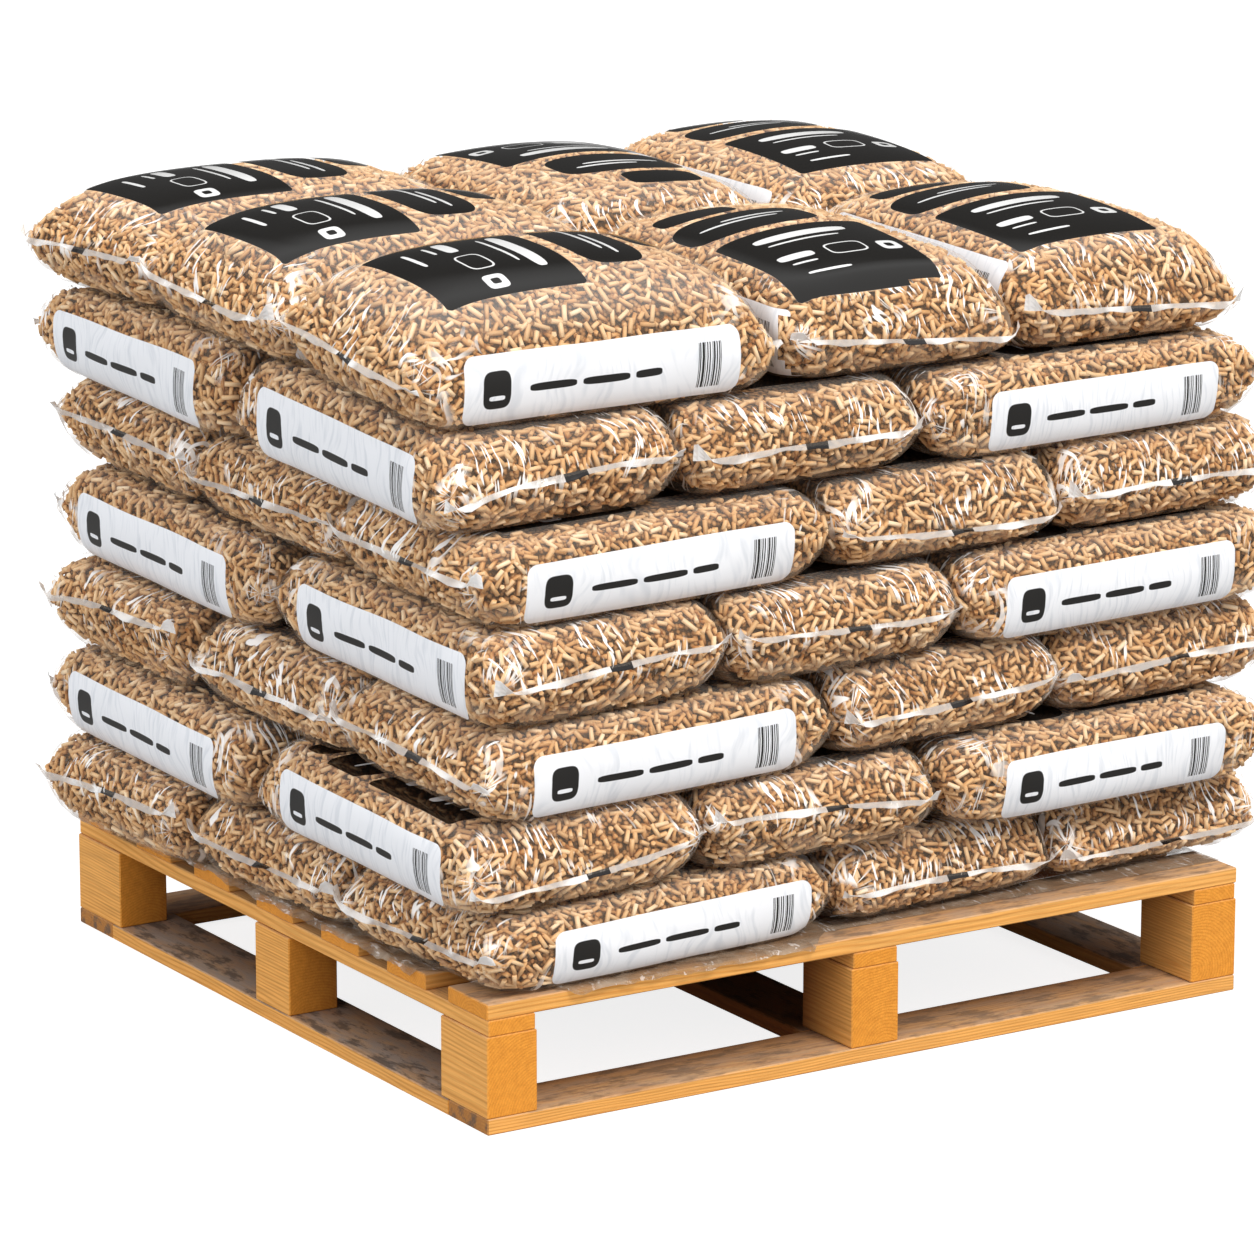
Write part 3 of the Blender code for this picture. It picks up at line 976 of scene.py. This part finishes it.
def film_part(middle):
    """Which of the film's three materials a face of a level sack has, by its middle."""
    if middle[2] > 0.045 and abs(middle[1]) < 0.165:
        return 2
    if abs(middle[1]) > 0.130 and abs(middle[0]) < 0.245:
        return 1
    return 0


film_materials = (
    film_material("sack_film_ends", weld_strip=True),
    film_material("sack_film_sides", side_label=True),
    film_material("sack_film_tops", top_art=True),
)
film_cage = sack_cage(39, 25, 11)

# By layer and number: how far the print of a sack lies off its middle, and how large it is
REVERSED_PRINT = (TOP_LAYER, 7)
INNER_LABELS_RAISED = ((TOP_LAYER, 6), (TOP_LAYER, 7))
INNER_LABEL_LIFT = 0.018
PRINT_ACROSS = {
    (6, 1): -0.020, (6, 2): -0.018, (6, 3): -0.014, (6, 4): 0.036, (6, 6): 0.029, (1, 4): 0.050,
}
PRINT_ALONG = {
    (0, 1): 0.025, (1, 1): -0.002, (3, 1): -0.025, (5, 1): 0.006, (6, 2): -0.030,
    (6, 3): -0.015, (6, 4): -0.050, (6, 6): -0.012,
}
PRINT_SCALES = {(1, 1): 0.90, (3, 1): 0.94, (5, 1): 0.91}


def add_weld(shell, sack, end):
    """A flat welded strip that stands out from one end of the film, with its ends turned up."""
    chance = np.random.default_rng(7000 + 100 * sack["layer"] + sack["number"])
    strip = bmesh.new()
    bmesh.ops.create_grid(strip, x_segments=3, y_segments=36, size=1.0)
    across = np.array([v.co.y for v in strip.verts])
    outward = np.array([(v.co.x + 1.0) / 2 for v in strip.verts])
    ridge = pillow(np.stack([np.full(len(across), float(end)), across,
                             np.zeros(len(across))], axis=1), 0.0, sack)
    phase = chance.uniform(0.0, 6.28, 4)
    wave = 0.0016 * np.sin(across * 9 + phase[0]) + 0.0010 * np.sin(across * 23 + phase[1])
    droop = chance.uniform(0.60, 1.00) + 0.15 * np.sin(across * 5 + phase[1])
    ear = np.clip((np.abs(across) - 0.78) / 0.16, 0.0, 1.0)
    ear = ear * ear * (3.0 - 2.0 * ear)
    tip = np.clip((np.abs(across) - 0.90) / 0.10, 0.0, 1.0) ** 2
    width = WELD_WIDTH * (1.0 + 0.15 * np.sin(across * 6 + phase[2]))
    width = (width + EARS[sack["layer"]] * ear) * (1.0 - 0.55 * tip)
    curl = EAR_HEIGHT * ear * (1.0 + 0.5 * np.sin(phase[3] + across * 17)) * outward
    lower = np.sin(droop) * width * outward * (1.0 - ear)
    moved = ridge + np.stack([
        end * (outward * width * np.cos(droop) - 0.003),
        np.sign(across) * 0.004 * ear * outward * (1.0 - tip),
        wave * outward + curl - lower], axis=1)
    for vert, point in zip(strip.verts, moved):
        vert.co = point
    bmesh.ops.solidify(strip, geom=strip.faces[:], thickness=0.0008)
    marks = strip.verts.layers.float.new("weld")
    for vert in strip.verts:
        vert[marks] = 1.0
    weld_mesh = bpy.data.meshes.new("weld")
    strip.to_mesh(weld_mesh)
    strip.free()
    shell.from_mesh(weld_mesh)
    bpy.data.meshes.remove(weld_mesh)


for sack in sacks:
    shell = sack_shell(film_cage, 0.0, sack)
    for face in shell.faces:
        face.smooth = True
        face.material_index = film_part(face.calc_center_median())
    shell.verts.layers.float.new("weld")
    add_weld(shell, sack, sack["end"])
    if sack["layer"] == TOP_LAYER:
        add_weld(shell, sack, -sack["end"])
    piece = new_piece("film_%d_%d" % (sack["layer"] + 1, sack["number"]), shell, *film_materials)
    key = (sack["layer"], sack["number"])
    facing = -sack["end"] if key == REVERSED_PRINT else sack["end"]
    level = level_places(piece.data)
    own_place = piece.data.attributes.new("sack_place", "FLOAT_VECTOR", "POINT")
    placed = level * (facing, facing, 1)
    own_place.data.foreach_set("vector", placed.astype(np.float32).ravel())
    printed = piece.data.attributes.new("print_place", "FLOAT_VECTOR", "POINT")
    print_along = (level[:, 0] - PRINT_ALONG.get(key, 0.0)) / PRINT_SCALES.get(key, 1.0)
    raised = INNER_LABEL_LIFT * (key in INNER_LABELS_RAISED) * (level[:, 1] > 0)
    label_up = level[:, 2] - LABEL_LIFT - raised
    top_across = placed[:, 1] + PRINT_ACROSS.get(key, 0.0)
    placed = np.stack([print_along * facing, label_up, top_across], axis=1)
    printed.data.foreach_set("vector", placed.astype(np.float32).ravel())
    move_to_stack(piece.data, sack)
    # The film is so clear that light passes it whole, so only the camera sees it.
    piece.visible_shadow = False
    piece.visible_diffuse = False
    piece.visible_glossy = False
    piece.visible_transmission = False
    join_stack(piece, sack)


# Deck sheet
# A thin plastic sheet laid on the deck boards under the bottom sacks. Its crumpled edges
# hang a little over the left ends of the boards and over part of the front one.
SHEET_LENGTH = 1.190
SHEET_DEPTH = 1.120
DECK_TOP = 0.176


def sheet_material():
    material, tree, shader = new_material("deck_sheet_film", {"Roughness": 0.18, "IOR": 1.5})
    place = tree.nodes.new("ShaderNodeTexCoord").outputs["Object"]
    folds = noise_field(tree, place, (90.0, 30.0, 90.0), 4.0, 0.62, 1.0)
    glints = bright_part(tree, folds, 0.57, 0.66)
    cloudy = bright_part(tree, noise_field(tree, place, 22.0, 3.0), 0.30, 0.70)
    film = blend_colour(tree, cloudy, (0.24, 0.16, 0.10), (0.40, 0.31, 0.23))
    film = blend_colour(tree, maths(tree, "MULTIPLY", glints, 0.80), film, (0.92, 0.89, 0.86))
    link(tree, film, shader.inputs["Base Color"])
    link(tree, maths(tree, "ADD", maths(tree, "MULTIPLY", cloudy, 0.35), 0.42),
         shader.inputs["Alpha"])
    link(tree, bump(tree, folds, 0.8, 0.004), shader.inputs["Normal"])
    return material


def ripple(place, chance, *lengths):
    """A sum of waves of the given lengths, about -1 to 1."""
    whole = np.zeros(len(place))
    for length in lengths:
        whole += np.sin(place * 2 * math.pi / length + chance.uniform(0.0, 6.28))
    return whole / len(lengths)


sheet_chance = np.random.default_rng(41)
sheet_builder = bmesh.new()
bmesh.ops.create_grid(sheet_builder, x_segments=84, y_segments=150, size=0.5)
sheet_builder.verts.ensure_lookup_table()
cut = np.array([v.co for v in sheet_builder.verts]) + 0.5
from_left = SHEET_LENGTH * (0.28 * cut[:, 0] + 0.72 * cut[:, 0] ** 2)
from_front = SHEET_DEPTH * (0.55 * cut[:, 1] + 0.45 * cut[:, 1] ** 2)
along_left = np.clip((from_front - 0.125) / 0.05, 0.0, 1.0)
along_left *= np.clip((1.085 - from_front) / 0.05, 0.0, 1.0)
along_front = np.clip((from_left - 0.060) / 0.04, 0.0, 1.0)
along_front *= np.clip((0.530 - from_left) / 0.04, 0.0, 1.0)
left_reach = 0.009 + 0.0030 * ripple(from_front, sheet_chance, 0.41, 0.19, 0.083)
front_reach = 0.006 + 0.003 * ripple(from_left, sheet_chance, 0.23, 0.09, 0.041)
left_shift = along_left * (left_reach + 0.010) - 0.035 * (1.0 - along_left)
front_shift = along_front * (front_reach + 0.012) - 0.030 * (1.0 - along_front)
near_left = np.clip(1.0 - from_left / 0.16, 0.0, 1.0)
near_front = np.clip(1.0 - from_front / 0.16, 0.0, 1.0)
sheet_x = from_left - SHEET_LENGTH / 2 - near_left * left_shift + 0.005
sheet_y = from_front - SHEET_DEPTH / 2 - near_front * front_shift
edge_left = np.clip((PALLET_LENGTH / -2 + 0.050 - sheet_x) / 0.050, 0.0, 1.0)
edge_front = np.clip((PALLET_DEPTH / -2 + 0.040 - sheet_y) / 0.040, 0.0, 1.0)
crumple = (ripple(from_front + from_left * 0.4, sheet_chance, 0.083, 0.037, 0.021)
           + ripple(from_left - from_front * 0.3, sheet_chance, 0.061, 0.029))
lift = np.maximum(edge_left * along_left, 0.55 * edge_front * along_front)
fall_left = np.clip((PALLET_LENGTH / -2 - 0.001 - sheet_x) / 0.014, 0.0, 1.3) ** 0.8
fall_front = np.clip((PALLET_DEPTH / -2 - 0.001 - sheet_y) / 0.008, 0.0, 1.3) ** 0.8
sheet_z = (DECK_TOP + 0.0006 + lift * (0.0034 + 0.0020 * crumple) - 0.015 * fall_left
           - 0.007 * fall_front)
sheet_x += 0.006 * fall_left
for vert, x, y, z in zip(sheet_builder.verts, sheet_x, sheet_y, sheet_z):
    vert.co = (x, y, max(z, DECK_TOP + 0.0005 if x > PALLET_LENGTH / -2 - 0.002
                         and y > PALLET_DEPTH / -2 - 0.002 else 0.0))
inner = [v for v in sheet_builder.verts if v.co.x > -0.52 and v.co.y > -0.50
         and not v.is_boundary]
inner_set = set(inner)
inner_edges = [e for e in sheet_builder.edges if all(v in inner_set for v in e.verts)]
bmesh.ops.dissolve_limit(sheet_builder, angle_limit=0.02, verts=inner, edges=inner_edges)
for face in sheet_builder.faces:
    face.smooth = True
deck_film = new_piece("deck_film", sheet_builder, sheet_material())
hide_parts("deck_sheet")
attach(deck_film, "root")
